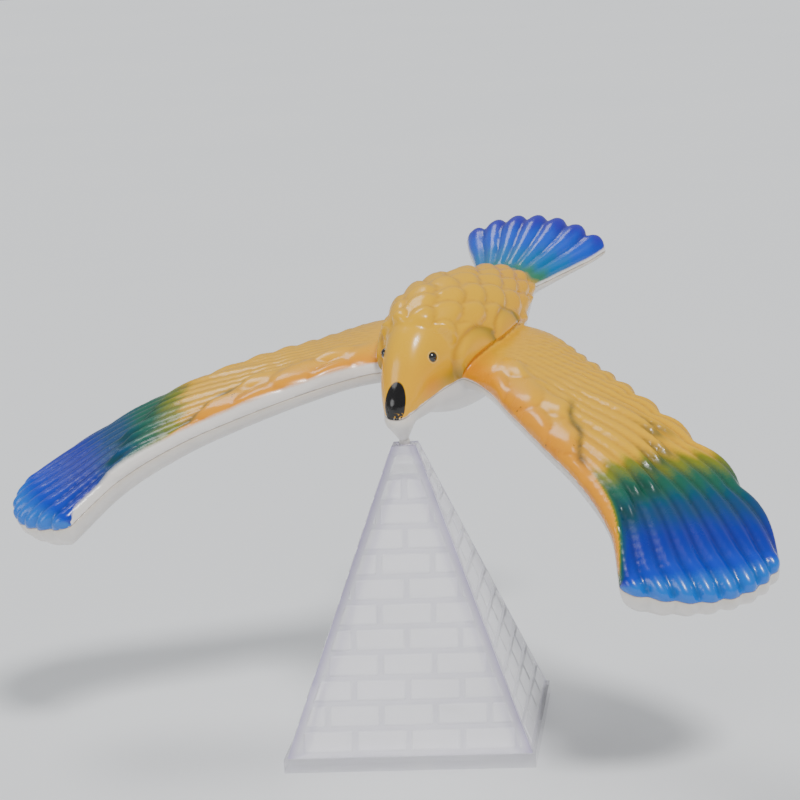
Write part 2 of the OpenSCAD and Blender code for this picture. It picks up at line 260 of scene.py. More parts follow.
class Shader:
    """A small helper that adds and links nodes in one tree."""

    def __init__(self, tree: bpy.types.NodeTree) -> None:
        self.tree = tree

    def add(self, kind: str, **values) -> bpy.types.Node:
        """Adds a node; keys that name an input socket set it, others set a property."""
        node = self.tree.nodes.new(kind)
        for key, value in values.items():
            if key.startswith("p_"):
                setattr(node, key[2:], value)
            else:
                node.inputs[int(key[1:]) if key[1:].isdigit() else key.replace("_", " ")].default_value = value
        return node

    def link(self, a: bpy.types.NodeSocket, b: bpy.types.NodeSocket) -> None:
        """Joins an output to an input."""
        self.tree.links.new(a, b)

    def math(self, op: str, a, b=None, clamp: bool = False) -> bpy.types.NodeSocket:
        """One math node; each operand is a number or a socket."""
        node = self.tree.nodes.new("ShaderNodeMath")
        node.operation, node.use_clamp = op, clamp
        for i, v in enumerate((a, b)):
            if v is None:
                continue
            if isinstance(v, (int, float)):
                node.inputs[i].default_value = v
            else:
                self.link(v, node.inputs[i])
        return node.outputs[0]

    def attribute(self, name: str) -> bpy.types.NodeSocket:
        """The factor output of a mesh attribute."""
        node = self.add("ShaderNodeAttribute")
        node.attribute_name = name
        return node.outputs["Fac"]

    def ramp(self, fac: bpy.types.NodeSocket, stops: list) -> bpy.types.NodeSocket:
        """A colour ramp.

        Args:
            fac: The driving socket.
            stops: Pairs of position and RGB colour.

        Returns:
            The colour output.
        """
        node = self.tree.nodes.new("ShaderNodeValToRGB")
        node.color_ramp.interpolation = "EASE"
        els = node.color_ramp.elements
        els.remove(els[-1])
        els[0].position, els[0].color = stops[0][0], (*stops[0][1], 1.0)
        for pos, rgb in stops[1:]:
            els.new(pos).color = (*rgb, 1.0)
        self.link(fac, node.inputs[0])
        return node.outputs["Color"]

    def mix(self, fac, a, b, blend: str = "MIX") -> bpy.types.NodeSocket:
        """Mixes two colours, each given as a socket or RGB."""
        node = self.tree.nodes.new("ShaderNodeMix")
        node.data_type, node.blend_type = "RGBA", blend
        ins = (node.inputs[0], node.inputs[6], node.inputs[7])
        for i, v in enumerate((fac, a, b)):
            if isinstance(v, (int, float)):
                ins[i].default_value = v
            elif isinstance(v, tuple):
                ins[i].default_value = (*v, 1.0)
            else:
                self.link(v, ins[i])
        return node.outputs[2]


class Materials:
    """Builds every finish once."""

    def __init__(self) -> None:
        self.grain = self._grain_group()

    def _grain_group(self) -> bpy.types.NodeTree:
        """Node group of the unevenness all the plastics share: a mottle value, a speck mask and a bump height."""
        group = bpy.data.node_groups.new("PlasticGrain", "ShaderNodeTree")
        group.interface.new_socket("Scale", in_out="INPUT", socket_type="NodeSocketFloat").default_value = 1.0
        for name in ("Mottle", "Specks", "Height"):
            group.interface.new_socket(name, in_out="OUTPUT", socket_type="NodeSocketFloat")
        sh = Shader(group)
        g_in, g_out = sh.add("NodeGroupInput"), sh.add("NodeGroupOutput")
        coord = sh.add("ShaderNodeTexCoord")
        made = []
        for kind, scale, values in (
            ("ShaderNodeTexNoise", 140.0, {"Detail": 3.0}), ("ShaderNodeTexNoise", 2600.0, {"Detail": 2.0}),
            ("ShaderNodeTexVoronoi", 420.0, {}),
        ):
            made.append(sh.add(kind, **values))
            sh.link(coord.outputs["Object"], made[-1].inputs["Vector"])
            sh.link(sh.math("MULTIPLY", g_in.outputs["Scale"], scale), made[-1].inputs["Scale"])
        big, fine, dots = made
        sh.link(big.outputs["Fac"], g_out.inputs["Mottle"])
        near = sh.math("LESS_THAN", dots.outputs["Distance"], 0.09)
        rare = sh.math("GREATER_THAN", big.outputs["Fac"], 0.60)
        sh.link(sh.math("MULTIPLY", near, rare), g_out.inputs["Specks"])
        sh.link(fine.outputs["Fac"], g_out.inputs["Height"])
        return group

    def _start(self, name: str) -> tuple:
        """A new material with its shader helper, principled node and grain group."""
        mat = bpy.data.materials.new(name)
        mat.use_nodes = True
        sh = Shader(mat.node_tree)
        bsdf = mat.node_tree.nodes["Principled BSDF"]
        grain = sh.add("ShaderNodeGroup")
        grain.node_tree = self.grain
        grain.inputs["Scale"].default_value = 1.0
        return mat, sh, bsdf, grain

    def painted(self) -> bpy.types.Material:
        """Sprayed paint on the upper shell, from golden yellow through teal to deep blue, with painted shade in hollows
        and under feathers.
        """
        mat, sh, bsdf, grain = self._start("SprayPaint")
        blotch = sh.math("MULTIPLY", sh.math("SUBTRACT", grain.outputs["Mottle"], 0.5), 0.16)
        spray = sh.math("MULTIPLY", sh.math("SUBTRACT", grain.outputs["Height"], 0.5), 0.22)
        noise = sh.math("ADD", blotch, spray)
        yellow = sh.ramp(
            sh.math("ADD", sh.attribute("warm"), sh.math("MULTIPLY", blotch, 0.9), clamp=True),
            [(0.0, (0.88, 0.47, 0.0)), (0.5, (0.88, 0.42, 0.0)), (1.0, (0.86, 0.29, 0.0))],
        )
        wing = sh.ramp(
            sh.math("ADD", sh.attribute("sweep"), sh.math("MULTIPLY", noise, 0.3), clamp=True),
            [(0.0, (0.85, 0.50, 0.0)), (0.10, (0.20, 0.22, 0.004)), (0.26, (0.003, 0.11, 0.065)),
             (0.44, (0.0, 0.050, 0.16)), (0.62, (0.0, 0.014, 0.34)), (0.84, (0.0, 0.035, 0.52)),
             (1.0, (0.0, 0.15, 0.66))],
        )
        tail = sh.ramp(
            sh.math("ADD", sh.attribute("tail"), sh.math("MULTIPLY", noise, 0.4), clamp=True),
            [(0.0, (0.50, 0.33, 0.0)), (0.18, (0.03, 0.20, 0.11)), (0.42, (0.0, 0.16, 0.46)),
             (0.74, (0.0, 0.075, 0.66)), (1.0, (0.018, 0.014, 0.42))],
        )
        on_wing = sh.math("MULTIPLY", sh.attribute("sweep"), 9.0, clamp=True)
        on_tail = sh.math("MULTIPLY", sh.attribute("tail"), 6.0, clamp=True)
        col = sh.mix(on_wing, yellow, wing)
        col = sh.mix(on_tail, col, tail)
        # Painted shade: a brown multiply darkens the colour in the clefts between feathers.
        col = sh.mix(sh.math("MULTIPLY", sh.attribute("cleft_shade"), 1.15, clamp=True), col, (0.55, 0.40, 0.28), "MULTIPLY")
        # Painted shade: dark green painted in the notches under the ends of the long feathers.
        dark = sh.math("MULTIPLY", sh.attribute("notch_shade"), sh.math("ADD", 0.96, noise), clamp=True)
        col = sh.mix(dark, col, (0.006, 0.055, 0.040))
        # Painted shade: darker olive along the lower rear edges of the side feathers and under the eye.
        olive_shade = sh.math("MULTIPLY", sh.attribute("olive_shade"), sh.math("ADD", 0.92, blotch), clamp=True)
        col = sh.mix(olive_shade, col, (0.26, 0.19, 0.012))
        cover = sh.math("ADD", sh.attribute("cover"), sh.math("MULTIPLY", noise, 0.9))
        cover = sh.math("MULTIPLY", sh.math("SUBTRACT", cover, 0.25), 2.2, clamp=True)
        col = sh.mix(cover, (0.86, 0.81, 0.76), col)
        scuff = sh.math("MULTIPLY", grain.outputs["Specks"], sh.attribute("scuff"), clamp=True)
        col = sh.mix(scuff, col, (0.16, 0.08, 0.02))
        seam = sh.math("LESS_THAN", sh.math("ABSOLUTE", sh.attribute("seam")), SEAM_LINE)
        col = sh.mix(sh.math("MULTIPLY", seam, 0.6), col, (0.30, 0.18, 0.08))
        ring = sh.math("MULTIPLY", sh.math("SUBTRACT", 1.62, sh.attribute("eye")), 6.0, clamp=True)
        col = sh.mix(sh.math("MULTIPLY", ring, 0.45), col, (0.90, 0.62, 0.22))
        ragged = sh.math("MULTIPLY", sh.math("SUBTRACT", grain.outputs["Mottle"], 0.5), 0.9)
        oval = sh.math("SUBTRACT", 0.0, sh.math("ADD", sh.attribute("beak"), ragged))
        beak = sh.math("MULTIPLY", oval, 7.0, clamp=True)
        chip = sh.math("MULTIPLY", sh.math("GREATER_THAN", grain.outputs["Height"], 0.56), sh.attribute("chip"))
        beak = sh.math("MULTIPLY", beak, sh.math("SUBTRACT", 1.0, chip), clamp=True)
        col = sh.mix(beak, col, (0.006, 0.005, 0.005))
        sh.link(col, bsdf.inputs["Base Color"])
        rough = sh.math("ADD", 0.20, sh.math("MULTIPLY", grain.outputs["Mottle"], 0.12))
        sh.link(sh.math("SUBTRACT", rough, sh.math("MULTIPLY", beak, 0.10)), bsdf.inputs["Roughness"])
        bsdf.inputs["Coat Weight"].default_value = 0.18
        bsdf.inputs["Coat Roughness"].default_value = 0.06
        bump = sh.add("ShaderNodeBump", Strength=0.10, Distance=0.0001)
        sh.link(grain.outputs["Height"], bump.inputs["Height"])
        sh.link(bump.outputs["Normal"], bsdf.inputs["Normal"])
        return mat

    def white(self) -> bpy.types.Material:
        """Unpainted warm white shell with a breath of overspray near the seam."""
        mat, sh, bsdf, grain = self._start("WhiteShell")
        base = sh.ramp(grain.outputs["Mottle"], [(0.0, (0.76, 0.72, 0.68)), (1.0, (0.86, 0.82, 0.78))])
        seam = sh.math("LESS_THAN", sh.math("ABSOLUTE", sh.attribute("seam")), SEAM_LINE)
        col = sh.mix(sh.math("MULTIPLY", seam, 0.35), base, (0.36, 0.24, 0.14))
        mist = sh.math("MULTIPLY", sh.attribute("mist"), sh.math("MULTIPLY", grain.outputs["Height"], 0.35), clamp=True)
        col = sh.mix(mist, col, (0.85, 0.60, 0.25))
        sh.link(col, bsdf.inputs["Base Color"])
        bsdf.inputs["Roughness"].default_value = 0.33
        bsdf.inputs["Subsurface Weight"].default_value = 0.12
        bsdf.inputs["Subsurface Radius"].default_value = (0.002, 0.0016, 0.0012)
        bsdf.inputs["Subsurface Scale"].default_value = 1.0
        bsdf.inputs["Coat Weight"].default_value = 0.15
        return mat

    def clear(self, name: str, tint: tuple, haze: float, edges: bool = False) -> bpy.types.Material:
        """Clear moulded polystyrene that lets light through to what stands under it.

        Args:
            name: The material's name.
            tint: Colour of its darker patches.
            haze: Share of the light that the plastic scatters.
            edges: Whether painted shade darkens the brick joints and the four slanted edges, standing in for light bent
                through thick plastic.

        Returns:
            The material.
        """
        mat, sh, bsdf, grain = self._start(name)
        col = sh.ramp(grain.outputs["Mottle"], [(0.0, tint), (1.0, (0.99, 0.985, 0.995))])
        if edges:
            coord = sh.add("ShaderNodeTexCoord")
            split = sh.add("ShaderNodeSeparateXYZ")
            sh.link(coord.outputs["Object"], split.inputs[0])
            across = (sh.math("ABSOLUTE", split.outputs[i]) for i in ("X", "Y"))
            gap = sh.math("ABSOLUTE", sh.math("SUBTRACT", *across))
            near = sh.math("SUBTRACT", 1.0, sh.math("MULTIPLY", gap, 520.0), clamp=True)
            # Painted shade: the low brick joints are darkened grey-lavender.
            col = sh.mix(sh.math("MULTIPLY", sh.attribute("joint"), 0.36), col, (0.56, 0.55, 0.64))
            # Painted shade: the four slanted edges are darkened lavender, standing in for light refracted through the
            # thick corners.
            col = sh.mix(near, col, (0.52, 0.46, 0.66))
        sh.link(col, bsdf.inputs["Base Color"])
        bsdf.inputs["Transmission Weight"].default_value = 1.0 - haze
        bsdf.inputs["IOR"].default_value = 1.32
        bsdf.inputs["Roughness"].default_value = 0.05
        path = sh.add("ShaderNodeLightPath")
        shade = sh.math("MULTIPLY", path.outputs["Is Shadow Ray"], 0.9)
        sh.link(sh.math("SUBTRACT", 1.0, shade), bsdf.inputs["Alpha"])
        bump = sh.add("ShaderNodeBump", Strength=0.08, Distance=0.0002)
        sh.link(grain.outputs["Mottle"], bump.inputs["Height"])
        sh.link(bump.outputs["Normal"], bsdf.inputs["Normal"])
        return mat

    def gloss(self, finish: Finish, metallic: float = 0.0) -> bpy.types.Material:
        """A plain finish with a little mottle."""
        mat, sh, bsdf, grain = self._start(finish.name)
        dark = tuple(c * 0.8 for c in finish.colour)
        sh.link(sh.ramp(grain.outputs["Mottle"], [(0.0, dark), (1.0, finish.colour)]), bsdf.inputs["Base Color"])
        bsdf.inputs["Roughness"].default_value = finish.roughness
        bsdf.inputs["Metallic"].default_value = metallic
        bsdf.inputs["Coat Weight"].default_value = finish.coat
        return mat


@dataclass
class BirdSkin:
    """The two moulded shells of the bird with their feather relief."""

    form: BirdForm = field(default_factory=BirdForm)
    voxel: float = 0.55
    wall: float = 0.8
    seam_gap: float = 0.05
    scale_h: float = 2.5
    puff_h: float = 1.7
    flute_h: float = 1.05
    primary_h: float = 1.5
    tier_h: float = 0.95
    tip_reach: float = 0.12
    side_feathers: tuple = ((19.5, 10.8, 6.6, 5.6), (31.0, 9.5, 5.8, 4.6))

    def _loft(self, bm: bmesh.types.BMesh, rings: list, mirror: bool) -> None:
        """Adds one closed skin, a grid whose rows are laid on the rings.

        Args:
            bm: The mesh that grows.
            rings: Closed sections with the same number of points.
            mirror: Whether the skin goes on the bird's right.
        """
        n, rows = len(rings[0]), len(rings)
        loft = bmesh.new()
        bmesh.ops.create_grid(loft, x_segments=n - 1, y_segments=rows - 1, size=0.5)
        loft.verts.ensure_lookup_table()
        for i, p in enumerate(np.vstack(rings)):
            loft.verts[i].co = (-p[0] if mirror else p[0], p[1], p[2])
        for row in range(rows - 1):
            a, c = loft.verts[row * n + n - 1], loft.verts[row * n]
            d, e = loft.verts[(row + 1) * n], loft.verts[(row + 1) * n + n - 1]
            loft.faces.new((a, c, d, e))
        bmesh.ops.holes_fill(loft, edges=[e for e in loft.edges if e.is_boundary], sides=0)
        bmesh.ops.recalc_face_normals(loft, faces=loft.faces[:])
        me = bpy.data.meshes.new("loft")
        loft.to_mesh(me)
        loft.free()
        bm.from_mesh(me)
        bpy.data.meshes.remove(me)

    def _sections(self) -> tuple[list, list, list]:
        """Dense sections of wing, body and tail with their surface coordinates."""
        ang = np.linspace(0, 2 * np.pi, RING_POINTS, endpoint=False)
        wing, body, tail = [], [], []
        for u in np.linspace(0, 1, 150):
            p, v = self.form.wing_ring(float(u), 0.0, ang)
            wing.append((p, np.full_like(v, u), v))
        for q in np.sin(np.linspace(0.04, 0.96, 22) * np.pi / 2):
            p, v = self.form.wing_ring(1.0, float(q), ang)
            wing.append((p, np.full_like(v, 1.0 + self.tip_reach * q), v))
        for s in np.linspace(0, len(self.form.body) - 1, 120):
            body.append((self.form.body_ring(float(s), ang), np.full_like(ang, s), ang))
        for s in np.linspace(0, len(self.form.tail) - 1, 60):
            p, v = self.form.tail_ring(float(s), 0.0, ang)
            tail.append((p, np.full_like(v, s), v))
        for q in np.sin(np.linspace(0.04, 0.96, 16) * np.pi / 2):
            p, v = self.form.tail_ring(len(self.form.tail) - 1.0, float(q), ang)
            tail.append((p, np.full_like(v, len(self.form.tail) - 1 + 0.6 * q), v))
        return wing, body, tail

    def _peg(self) -> list:
        """Sections of the peg under the beak."""
        ang = np.linspace(0, 2 * np.pi, RING_POINTS, endpoint=False)
        out = []
        for z, r in PEG_RINGS:
            out.append(np.stack([r * np.cos(ang), r * np.sin(ang) + 0.02 * z, np.full_like(ang, z)], 1))
        return out

    def remeshed(self) -> tuple[bpy.types.Mesh, dict]:
        """Welds the lofts into one skin and finds each point's place on its loft.

        Returns:
            The welded mesh and arrays of part, first and second surface coordinate, one entry per vertex.
        """
        wing, body, tail = self._sections()
        bm = bmesh.new()
        part, cu, cv = [], [], []
        for kind, sec, mirrors in (
            (Part.BODY, body, (False,)), (Part.TAIL, tail, (False,)), (Part.WING, wing, (False, True)),
        ):
            for m in mirrors:
                self._loft(bm, [s[0] for s in sec], m)
                part += [kind.value] * (len(sec) * len(sec[0][1]))
                cu += [x for s in sec for x in s[1]]
                cv += [x for s in sec for x in s[2]]
        self._loft(bm, self._peg(), False)
        n_peg = len(PEG_RINGS) * RING_POINTS
        part += [Part.PEG.value] * n_peg
        cu += [0.0] * n_peg
        cv += [0.0] * n_peg
        me = bpy.data.meshes.new("lofts")
        bm.to_mesh(me)
        ob = in_scene("lofts", me)
        mod = ob.modifiers.new("weld", "REMESH")
        mod.mode, mod.voxel_size, mod.adaptivity = "VOXEL", self.voxel, 0.0
        mod.use_smooth_shade = True
        dep = bpy.context.evaluated_depsgraph_get()
        out = bpy.data.meshes.new_from_object(ob.evaluated_get(dep))
        bmesh.ops.triangulate(bm, faces=bm.faces[:])
        bm.verts.index_update()
        bm.faces.index_update()
        tree = BVHTree.FromBMesh(bm)
        tris = np.array([[v.index for v in f.verts] for f in bm.faces])
        co = np.array([v.co for v in bm.verts])
        bm.free()
        bpy.data.objects.remove(ob)
        verts = np.zeros(len(out.vertices) * 3)
        out.vertices.foreach_get("co", verts)
        verts = verts.reshape(-1, 3)
        hit = [tree.find_nearest(v) for v in verts]
        idx = np.array([h[2] for h in hit])
        near = np.array([h[0] for h in hit])
        t = tris[idx]
        a, b, c = co[t[:, 0]], co[t[:, 1]], co[t[:, 2]]
        w = self._weights(near, a, b, c)
        part, cu, cv = np.array(part), np.array(cu), np.array(cv)
        ids = part[t[:, 0]]
        u = (cu[t] * w).sum(1)
        vv = cv[t]
        wrap = (vv.max(1) - vv.min(1)) > 3.0
        vv = np.where(wrap[:, None] & (vv < 3.0), vv + 2 * np.pi, vv)
        v = (vv * w).sum(1)
        LOG.info("skin: %d points", len(verts))
        return out, {"part": ids, "u": u, "v": v}

    @staticmethod
    def _weights(p: np.ndarray, a: np.ndarray, b: np.ndarray, c: np.ndarray) -> np.ndarray:
        """Barycentric weights of points on triangles."""
        v0, v1, v2 = b - a, c - a, p - a
        d00, d01, d11 = (v0 * v0).sum(1), (v0 * v1).sum(1), (v1 * v1).sum(1)
        d20, d21 = (v2 * v0).sum(1), (v2 * v1).sum(1)
        den = np.maximum(d00 * d11 - d01 * d01, 1e-12)
        w1 = np.clip((d11 * d20 - d01 * d21) / den, 0, 1)
        w2 = np.clip((d00 * d21 - d01 * d20) / den, 0, 1)
        return np.stack([np.clip(1 - w1 - w2, 0, 1), w1, w2], 1)

    @staticmethod
    def _even(values: np.ndarray, edges: np.ndarray, times: int) -> np.ndarray:
        """Averages each point's value with its neighbours'.

        Args:
            values: One value for each point.
            edges: Pairs of neighbouring points.
            times: How often.

        Returns:
            The evened values.
        """
        count = np.maximum(np.bincount(edges.ravel(), minlength=len(values)), 1)
        for _ in range(times):
            total = np.bincount(edges[:, 0], values[edges[:, 1]], len(values))
            total = total + np.bincount(edges[:, 1], values[edges[:, 0]], len(values))
            values = 0.5 * values + 0.5 * total / count
        return values

    @staticmethod
    def _scales(s: np.ndarray, w: np.ndarray, reach: float = 1.55) -> tuple[np.ndarray, np.ndarray]:
        """Overlapping puffy feathers in rows; the row nearer the root lies on top.

        Args:
            s: Position along the rows' direction, one row to a unit.
            w: Position across, one feather to a unit.
            reach: Length of a feather, in rows.

        Returns:
            The height, from 0 to about 1, and a mask that is 1 in the clefts.
        """
        height, cleft, done = np.zeros_like(s), np.zeros_like(s), np.zeros_like(s, bool)
        for back in (1, 0):
            row = np.floor(s) - back
            dw = w - 0.5 * np.mod(row, 2)
            dw = 2 * (dw - np.round(dw))
            inside = (s - row) / reach
            edge = 1 - np.clip(inside, 0, 2) ** 3 - 0.86 * dw * dw
            take = ~done & (edge > 0)
            dome = np.sqrt(np.clip(edge * 1.6, 0, 1))
            height = np.where(take, dome * (0.22 + 0.78 * inside), height)
            cleft = np.where(take, np.clip(1 - edge * 5.0, 0, 1), cleft)
            done |= take
        return height, cleft

    def _side_feather(self, co: np.ndarray) -> tuple[np.ndarray, np.ndarray]:
        """Neck and flank feathers: distance from the nearest one's middle, and how far to its free end."""
        best, rear = np.full(len(co), 9.0), np.zeros(len(co))
        for y0, z0, ry, rz in self.side_feathers:
            dy, dz = (co[:, 1] - y0) / ry, (co[:, 2] - z0) / rz
            r = np.hypot(dy, dz)
            rear = np.where(r < best, np.clip(0.45 + 0.6 * dy - 0.35 * dz, 0, 1), rear)
            best = np.minimum(best, r)
        return best, rear

    def _wing_relief(self, u: np.ndarray, v: np.ndarray) -> tuple[np.ndarray, np.ndarray, np.ndarray]:
        """Coverts along the leading band, then two tiers of long feathers that fan out to the tip.

        Args:
            u: Span position.
            v: Chord position.

        Returns:
            Height in millimetres, cleft mask, and the mask of painted shade, dark green, in the notches at the feather
            ends.
        """
        lab = self.form.feather_line(np.minimum(u, 1.0), v)
        k = lab * self.form.feathers
        frac = k - np.floor(k)
        ridge = np.abs(np.sin(np.pi * frac))
        odd = 0.018 * np.sin(np.floor(k) * 2.4 + 0.6)
        round_end = 0.055 * (2 * frac - 1) ** 2
        tier2 = 0.865 - 0.21 * lab + odd - round_end
        band = 0.37 + 0.025 * np.sin(u * 58.0) - 1.6 * np.clip(u - 0.47, 0, 1)
        start = ease((u - 0.10) / 0.12)
        far = ease((u - tier2 + 0.01) / 0.03)
        size = self.flute_h * (0.55 + 0.45 * ease((u - 0.2) / 0.4)) * (1 - 0.25 * ease((v - 0.8) / 0.2))
        flute = (ridge**0.75 - 0.5) * size
        fat = (ridge**0.7 - 0.5) * self.primary_h * (0.7 + 0.45 * ease((u - 0.9) / 0.15))
        inner = ease((1.12 - lab) / 0.12)
        lift = self.tier_h * ease((u - tier2 + 0.20) / 0.17) * (1 - ease((u - tier2) / 0.034)) * inner
        long = flute * (1 - far) + fat * far + lift
        puff, puff_cleft = self._scales(u * 9.5 - 0.45, v * 3.1 - 0.55)
        on = ease((band - v) / 0.035)
        high = on * (0.15 + self.puff_h * puff * ease((v + 0.02) / 0.1))
        h = (long * (1 - on) + high) * start
        # Clefts between the long feathers and between the coverts, where the paint adds painted shade.
        gaps = np.clip(1 - ridge * 2.0, 0, 1) * (1 - on) * 0.6 + puff_cleft * on * 0.45
        # Painted shade, dark green, in the notches just past each long feather's end.
        end2 = np.exp(-(((u - tier2 - 0.026) / 0.020) ** 2)) * inner * (lab > 0.1)
        end1 = np.exp(-(((v - band - 0.02) / 0.022) ** 2)) * ease((u - 0.44) / 0.05) * (1 - ease((u - 0.64) / 0.03))
        notch_shade = np.clip(end2 * (0.35 + 0.65 * (1 - ridge * 0.4)) + end1 * 1.1, 0, 1) * (1 - on)
        return h, gaps * start, notch_shade * (v > 0.06)

    def seam_height(self, co: np.ndarray, place: dict) -> np.ndarray:
        """Height of the seam at each point: the wings' middle surface outboard, the body's inboard."""
        base = self.form.seam_z(co[:, 0], co[:, 1])
        mid = self.form.wing_mid(place["u"], np.clip(place["v"], 0, 1), self.tip_reach)
        share = np.where(place["part"] == Part.WING.value, ease((np.abs(co[:, 0]) - 12) / 6), 0.0)
        return base + (mid - base) * share

    def relief(self, co: np.ndarray, place: dict, above: np.ndarray) -> tuple[np.ndarray, np.ndarray, np.ndarray]:
        """Feather height over the smooth skin.

        Args:
            co: Points of the smooth skin.
            place: Part and surface coordinates of each point.
            above: Height of each point over the seam.

        Returns:
            Height in millimetres, cleft mask and the mask of painted shade in the notches.
        """
        f = self.form
        part, u, v = place["part"], place["u"], place["v"]
        y = co[:, 1]
        body, wing, tail = (part == p.value for p in (Part.BODY, Part.WING, Part.TAIL))
        across = (np.mod(v, 2 * np.pi) - np.pi / 2) * 1.75
        drift = 0.16 * np.sin(y * 0.29) * np.cos(across)
        puff, puff_cleft = self._scales((y - 15.2) / 5.4 + 0.10 * np.sin(across * 2.3), across * 1.12 + drift)
        on = ease((y - 14.6 + 2.2 * np.cos(np.clip(across, -2, 2)) ** 2) / 1.0) * (1 - ease((y - 57) / 6))
        r, _ = self._side_feather(co)
        lobe = np.sqrt(np.clip(1 - r * r, 0, 1))
        body_h = np.where(r < 1, 0.45 + 1.35 * np.minimum(1, lobe * 1.5), puff * on * self.scale_h)
        rim = np.exp(-(((r - 1.02) / 0.07) ** 2))
        wing_h, wing_cleft, notch_shade = self._wing_relief(u, v)
        ridge = np.abs(np.sin(np.pi * (v + 1) * 0.5 * f.tail_feathers))
        on_t = ease((y - 60) / 9)
        tail_h = (ridge**0.6 - 0.4) * 1.25 * on_t
        tail_cleft = np.clip(1 - ridge * 2.0, 0, 1) * on_t * 0.5
        h = np.select([body, wing, tail], [body_h, wing_h, tail_h], 0.0)
        # Masks of the clefts, which the paint darkens with painted shade.
        body_cleft = np.where(r < 1, rim, np.maximum(puff_cleft * on, rim)) * 0.6
        cleft = np.select([body, wing, tail], [body_cleft, wing_cleft, tail_cleft], 0.0)
        fade = ease((above - 0.1) / 1.2)
        return h * fade, cleft * fade, np.where(wing, notch_shade, 0.0) * fade

    def paint(self, co: np.ndarray, place: dict, above: np.ndarray, cleft: np.ndarray, notch_shade: np.ndarray) -> dict:
        """The masks from which the shaders colour the skin.

        Args:
            co: Points of the smooth skin.
            place: Part and surface coordinates of each point.
            above: Height of each point over the seam.
            cleft: Mask of the lines between feathers, which the paint darkens as painted shade.
            notch_shade: Mask of the painted shade, dark green, in the notches at the ends of the long feathers.

        Returns:
            A value for each point under each mask's name.
        """
        f = self.form
        part, u, v = place["part"], place["u"], place["v"]
        x, y, z = co.T
        body, wing, tail = (part == p.value for p in (Part.BODY, Part.WING, Part.TAIL))
        strip = np.where(x > 0, 0.30, 0.06) * (1 - ease((v - 0.01) / 0.10))
        green = np.where(x > 0, 0.655 + 0.085 * v, 0.615 + 0.02 * v) + strip + 0.012 * np.sin(v * 50)
        sweep = np.where(wing, np.clip((u - green) / (1.10 - green), 0, 1), 0.0)
        back = np.clip((y - 59.0) / 25.0, 0, 1)
        tail_m = np.where(tail | (body & (y > 55)), np.clip(back * 1.05 + 0.03 * np.sin(x * 2.1), 0, 1), 0.0)
        cheek = np.exp(-(((y - 6.0) / 5.0) ** 2) - ((z - 12.0) / 5.0) ** 2)
        body_warm = 0.10 + 0.55 * cheek + 0.25 * (1 - ease((z - 9) / 6))
        warm = np.where(wing, 0.12 + 0.72 * (1 - ease((v - 0.04) / 0.34)), body_warm)
        r, rear = self._side_feather(co)
        # Painted shade along each side feather's lower rear edge, and a patch of it under the eye.
        olive_shade = ease((r - 0.45) / 0.5) * (1 - ease((r - 1.0) / 0.10)) * rear
        under_eye_shade = 0.75 * np.exp(-(((y - 12.5) / 4.5) ** 2) - ((z - 9.8) / 2.3) ** 2)
        olive_shade = np.where(body, np.clip(olive_shade + under_eye_shade, 0, 1), 0.0)
        side = np.where(x > 0, 0.25, 1.5) * (1 - ease((v - 0.05) / 0.15))
        need = np.where(tail, 1.3, np.where(wing, 0.30 + side * (1 - ease((u - 0.97) / 0.03)), 0.45))
        past = np.where(wing, 1.4 * ease((u - 0.985) / 0.02), 0.0)
        rise = np.where(wing & (x < 0), 1.2 * (1 - ease((v - 0.03) / 0.14)), 0.0)
        cover = ease((above + past - rise - 0.12) / need)
        eye = np.sqrt((np.abs(x) - f.eye[0]) ** 2 + (y - f.eye[1]) ** 2 + (z - f.eye[2]) ** 2)
        oval = (np.hypot(x / 2.5, (z - 10.3) / 3.9) - 1.0) * 2.4
        beak = np.where((y < 6.0) & body, oval, 5.0)
        scuff = np.where(wing, 0.8 * (u > 0.25) * (u < 0.7), np.where(body, 0.5 * (y < 12), 0.0))
        mist = np.exp(-((above / 1.2) ** 2)) * np.where(body, 0.4, 1.0)
        return {
            "sweep": sweep, "tail": tail_m, "warm": warm, "olive_shade": olive_shade, "cover": cover, "cleft_shade": cleft,
            "notch_shade": notch_shade, "seam": above, "eye": eye, "beak": beak, "scuff": scuff, "mist": mist,
            "chip": np.where((z < 8.6) & (x > 0), 1.0, 0.0),
        }

    def shells(self, materials: Materials, attitude: Attitude) -> list:
        """Builds both shells, in place on the pivot.

        Args:
            materials: The finishes.
            attitude: The rest attitude.

        Returns:
            The upper and the lower shell.
        """
        mesh, place = self.remeshed()
        bm = bmesh.new()
        bm.from_mesh(mesh)
        for _ in range(2):
            bmesh.ops.smooth_vert(bm, verts=bm.verts[:], factor=0.5, use_axis_x=True, use_axis_y=True, use_axis_z=True)
        bm.normal_update()
        co = np.array([v.co for v in bm.verts])
        nor = np.array([v.normal for v in bm.verts])
        edges = np.array([[e.verts[0].index, e.verts[1].index] for e in bm.edges])
        lift = self._even(self.seam_height(co, place), edges, 14)
        above = co[:, 2] - lift
        h, cleft, notch_shade = self.relief(co, place, above)
        h, cleft, notch_shade = (self._even(a, edges, n) for a, n in ((h, 4), (cleft, 1), (notch_shade, 2)))
        masks = self.paint(co, place, above, cleft, notch_shade)
        masks["lift"] = lift
        layers = {k: bm.verts.layers.float.new(k) for k in masks}
        for i, v in enumerate(bm.verts):
            v.co = co[i] + nor[i] * h[i]
            for k, lay in layers.items():
                v[lay] = float(masks[k][i])
        for v in bm.verts:
            v.co.z -= v[layers["lift"]]
        pair = []
        for side in Side:
            half = bm.copy()
            cut = self.seam_gap / 2 * side.value
            bmesh.ops.bisect_plane(
                half, geom=half.verts[:] + half.edges[:] + half.faces[:], plane_co=(0, 0, cut), plane_no=(0, 0, 1),
                clear_inner=side is Side.UPPER, clear_outer=side is Side.LOWER,
            )
            raised = half.verts.layers.float["lift"]
            for v in half.verts:
                v.co.z += v[raised]
